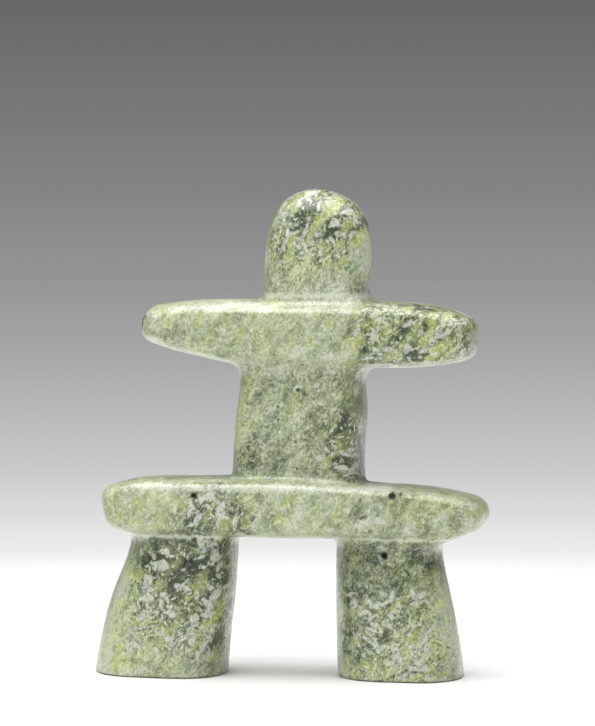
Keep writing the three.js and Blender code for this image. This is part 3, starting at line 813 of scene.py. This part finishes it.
def serpentineStone():
    material = bpy.data.materials.new("polishedSerpentine")
    material.use_nodes = True
    material.node_tree.nodes.clear()
    sheet = Sheet(material.node_tree)
    place = sheet.add("ShaderNodeTexCoord", output="Object")
    place = sheet.add("ShaderNodeVectorMath", {"operation": "SCALE"}, {0: place, 3: 1 / mm})
    heights = sheet.add("ShaderNodeSeparateXYZ", {}, {0: place}, 2)
    loose = place
    for size, push in serpentine["stirs"]:
        loose = sheet.stirred(loose, size, push)

    # Everything runs up to the right in long flakes and lenses
    turn = (0, math.radians(-serpentine["streakAngle"]), math.radians(serpentine["streakSlant"]))
    streaks, lean, straight = [
        sheet.add(
            "ShaderNodeMapping",
            {"vector_type": "TEXTURE"},
            {"Vector": start, "Rotation": turn, "Scale": (longer, 1, 1)},
        )
        for start, longer in zip((loose, loose, place), serpentine["stretches"])
    ]
    crystal, small, flake = serpentine["grainSizes"]
    crystals = sheet.lot(sheet.cells(straight, crystal))
    grain = sheet.speckle(lean, small, 2.0, 0.7)
    flakes = sheet.speckle(lean, flake, 3.0, 0.65)
    drift = sheet.speckle(streaks, serpentine["driftSize"], 3.0, 0.6)
    ragged = (grain - 0.5) * 2.0 + (flakes - 0.5) + (crystals - 0.5) * 0.3
    bands = sheet.speckle(streaks, serpentine["bandSize"])

    # Coarse where the zones are, and in broad patches on the other sides
    behind = sheet.rise(heights.other("Y"), *serpentine["backBegins"])
    zone = sheet.rise(sheet.speckle(place, serpentine["backPatchSize"], 1.0), 0.5, 0.66) * behind
    zone = zone | sheet.rise(sheet.layer("coarse") + (drift - 0.5) * 0.8, 0.25, 0.75)
    calm = 0
    fade = serpentine["calmFade"]
    for low, high in calmBands:
        above = sheet.rise(heights, low - fade, low + fade)
        calm = above * sheet.rise(heights, high + fade, high - fade) + calm
    calm = calm * (1 - zone)

    # Yellow lenses, and small yellow dots
    lensBed = sheet.cells(streaks, serpentine["lensSize"])
    lensLot = sheet.lot(lensBed)
    yellow = sheet.rise(lensLot, 0.7, 0.74) * sheet.rise(lensBed + ragged * 0.12, 0.5, 0.36)
    yellow = yellow * (0.35 + 0.65 * behind)
    dots = sheet.rise(lensLot.other("Green"), 0.5, 0.54) * sheet.rise(lensBed + ragged * 0.06, 0.22, 0.12)
    yellow = (yellow | dots) * (0.4 + 0.4 * zone)
    yellow = yellow | sheet.rise(sheet.layer("yellow") + ragged * 0.3, 0.6, -0.3) * (0.6 + 0.2 * zone)
    darkness = sheet.rise(sheet.speckle(streaks, serpentine["seamSize"]), 0.5, 0.64)
    darkness = (darkness * zone * 0.4) | sheet.rise(sheet.layer("dark") + ragged * 0.5, 0.3, -0.3)

    # Pale angular chips in clusters, each with a painted shadow at its lower edge, and a darker ring round
    # the listed pale marks
    cluster = sheet.rise(sheet.speckle(loose, serpentine["clusterSize"], 1.0), 0.45, 0.65)
    lenient = cluster * zone * 0.1 + ragged * 0.05
    shaded = sheet.add("ShaderNodeVectorMath", {"operation": "ADD"}, {0: loose, 1: serpentine["chipShade"]})
    large, little = serpentine["chipSizes"]
    chip, chipShadowAndRing = [
        sheet.rise(sheet.lot(sheet.cells(spot, large)) + lenient, 0.82, 0.86) * behind
        | sheet.rise(sheet.lot(sheet.cells(spot, little)) + lenient, 0.86, 0.9)
        for spot in (loose, shaded)
    ]
    outsidePale = sheet.layer("pale") + ragged * 0.4
    chip = chip * (0.4 + 0.4 * zone) | sheet.rise(outsidePale, 0.3, -0.05) * 0.85
    chip = chip * sheet.rise(grain + flakes, 0.65, 1.05)
    # painted shadow below the random chips, with a darker ring round the listed pale marks
    chipShadowAndRing = (chipShadowAndRing | sheet.rise(outsidePale, 1.0, 0.3) * 0.5) * (1 - chip)

    fine = (grain - 0.5) * (1.05 + 0.2 * zone) + (crystals - 0.5) * (0.12 + 0.2 * zone)
    fine = (fine + (flakes - 0.5) * (0.8 + 0.6 * zone)) * (1 - 0.35 * calm)
    level = 0.52 + fine + (drift - 0.5) * 0.9 + (bands - 0.5) * 0.6
    # the layer holds the stone's own tone together with the painted light and shade of the zones above
    level = level + sheet.layer("lightness") + 0.13 * calm - 0.07 * zone
    tone = sheet.add("ShaderNodeValToRGB", {"stops": serpentine["grains"]}, {"Fac": level})
    hue = sheet.speckle(streaks, serpentine["hueSize"])
    warmth = sheet.rise(hue, 0.44, 0.58) * (0.45 + 0.15 * calm + 0.5 * zone) | sheet.layer("warmth")
    tone = sheet.wash(warmth, tone, serpentine["warm"])
    tone = sheet.wash(sheet.rise(hue, 0.46, 0.34), tone, serpentine["cool"])
    darkness = (darkness | (chipShadowAndRing * zone)) * sheet.rise(grain + flakes, 1.6, 0.7)
    tone = sheet.tint(darkness, tone, serpentine["dark"])
    lens = sheet.tint(sheet.rise(flakes + grain, 0.9, 1.15), serpentine["lens"], serpentine["lensPale"])
    lens = sheet.scaled(lens, 1 + sheet.layer("lightness"))
    tone = sheet.tint(yellow, tone, lens)
    tone = sheet.tint(chip, tone, serpentine["chip"])
    tone = sheet.scaled(tone, serpentine["shade"] + (crystals - 0.5) * 0.14 + (grain - 0.5) * 0.6)
    # painted highlight: pale speckled bands stand in for the light on the fillets and along the hips'
    # shoulder
    paintedSheen = sheet.rise(sheet.layer("fringe") + ragged * 0.3, 0.45, 0.95)
    tone = sheet.tint(paintedSheen * 0.6, tone, serpentine["chip"])
    nearSole = sheet.rise(heights, *serpentine["soleLineEnds"])
    tone = sheet.tint(nearSole * 0.7, tone, serpentine["soleLine"])
    hollow = sheet.layer("pits")
    tone = sheet.tint(hollow, tone, serpentine["pit"])

    low, high = serpentine["roughness"]
    gloss = (low + (high - low) * (0.8 * grain + 0.4 * calm)) | hollow
    strength, height = serpentine["bump"]
    bump = sheet.add(
        "ShaderNodeBump",
        {},
        {"Strength": strength, "Distance": height * mm, "Height": grain + flakes + crystals * 0.3},
    )
    shader = sheet.add(
        "ShaderNodeBsdfPrincipled",
        {},
        {
            "Base Color": tone,
            "Roughness": gloss,
            "Coat Weight": (serpentine["coat"] - 0.04 * calm) * (1 - hollow),
            "Coat Roughness": serpentine["coatRoughness"],
            "IOR": serpentine["refraction"],
            "Normal": bump,
        },
    )
    sheet.add("ShaderNodeOutputMaterial", {}, {"Surface": shader})
    return material


layLayers(carvedMesh, points)
carvedMesh.materials.append(serpentineStone())
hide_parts("inukshuk")
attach(figure, "root")
print("stone finished")


# The studio

studio = {
    "floorRadius": 520,
    "floorSides": 96,
    "whiteRadius": 240,  # the floor fades from here to its rim
    "floorTone": 0.84,
    "floorRoughness": 0.7,
    # Height of a ray over its length, and the background's brightness there
    "backdrop": [
        (-0.11, 255), (-0.1, 247), (-0.09, 232), (-0.08, 216), (-0.07, 202), (-0.06, 191), (-0.04, 170),
        (-0.015, 149), (0.01, 133), (0.03, 122), (0.065, 104),
    ],
    "backdropLow": -0.12,
    "backdropHigh": 0.08,
}

softboxes = [
    # name, place, aim, width and height, watts
    ("keyStrip", (-140, 150, 850), (-140, 150, 0), (140, 2000), 4.8),
    ("overheadBox", (0, -100, 1100), (0, 0, 90), (1700, 1400), 23.5),
    ("frontFill", (-500, -1100, 420), (0, 0, 90), (800, 800), 2.0),
]


def makeFloor():
    radius = studio["floorRadius"] * mm
    mesh = bpy.data.meshes.new("paleFloor")
    form = bmesh.new()
    bmesh.ops.create_circle(form, cap_ends=True, radius=radius, segments=studio["floorSides"])
    form.to_mesh(mesh)
    form.free()
    floor = bpy.data.objects.new("paleFloor", mesh)
    bpy.context.scene.collection.objects.link(floor)
    material = bpy.data.materials.new("paleFloor")
    material.use_nodes = True
    material.node_tree.nodes.clear()
    sheet = Sheet(material.node_tree)
    place = sheet.add("ShaderNodeTexCoord", output="Object")
    away = sheet.add("ShaderNodeVectorMath", {"operation": "LENGTH"}, {0: place}, 1)
    tone = (studio["floorTone"],) * 3 + (1.0,)
    matt = sheet.add(
        "ShaderNodeBsdfPrincipled", {}, {"Base Color": tone, "Roughness": studio["floorRoughness"]}
    )
    clear = sheet.add("ShaderNodeBsdfTransparent")
    gone = sheet.rise(away, studio["whiteRadius"] * mm, radius * 0.98)
    mixed = sheet.add("ShaderNodeMixShader", {}, {0: gone, 1: matt, 2: clear})
    sheet.add("ShaderNodeOutputMaterial", {}, {"Surface": mixed})
    mesh.materials.append(material)


def makeBackdrop():
    world = bpy.data.worlds.new("studioGrey")
    world.use_nodes = True
    world.node_tree.nodes.clear()
    sheet = Sheet(world.node_tree)
    ray = sheet.add("ShaderNodeTexCoord", output="Generated")
    height = sheet.add("ShaderNodeSeparateXYZ", {}, {0: ray}, 2)
    low, high = studio["backdropLow"], studio["backdropHigh"]
    share = sheet.add("ShaderNodeMapRange", {}, {"Value": height, "From Min": low, "From Max": high})
    stops = [((place - low) / (high - low), colour(grey, grey, grey)) for place, grey in studio["backdrop"]]
    shade = sheet.add("ShaderNodeValToRGB", {"stops": stops}, {"Fac": share})
    light = sheet.add("ShaderNodeBackground", {}, {"Color": shade})
    sheet.add("ShaderNodeOutputWorld", {}, {"Surface": light})
    bpy.context.scene.world = world


def aimAt(piece, target):
    direction = Vector(target) * mm - piece.location
    piece.rotation_euler = direction.to_track_quat("-Z", "Y").to_euler()


def makeLights():
    for name, place, target, (width, height), power in softboxes:
        lamp = bpy.data.lights.new(name, "AREA")
        lamp.shape = "RECTANGLE"
        lamp.size = width * mm
        lamp.size_y = height * mm
        lamp.energy = power
        box = bpy.data.objects.new(name, lamp)
        box.location = Vector(place) * mm
        aimAt(box, target)
        bpy.context.scene.collection.objects.link(box)


makeFloor()
makeBackdrop()
makeLights()
bpy.context.scene.view_settings.view_transform = "Standard"
print("studio ready")


# The camera

camera = {
    "azimuth": 8,
    "distance": 1270,
    "height": 165,
    "aim": (2.0, 0.3, 115.1),
    "lens": 170.3,
    "sensor": 36,
}


def makeCamera():
    view = bpy.data.cameras.new("photoView")
    view.sensor_fit = "VERTICAL"
    view.sensor_height = camera["sensor"]
    view.lens = camera["lens"]
    eye = bpy.data.objects.new("photoView", view)
    turn = math.radians(camera["azimuth"])
    distance = camera["distance"]
    eye.location = Vector((math.sin(turn) * distance, -math.cos(turn) * distance, camera["height"])) * mm
    aimAt(eye, camera["aim"])
    bpy.context.scene.collection.objects.link(eye)
    bpy.context.scene.camera = eye


makeCamera()
print("camera placed")
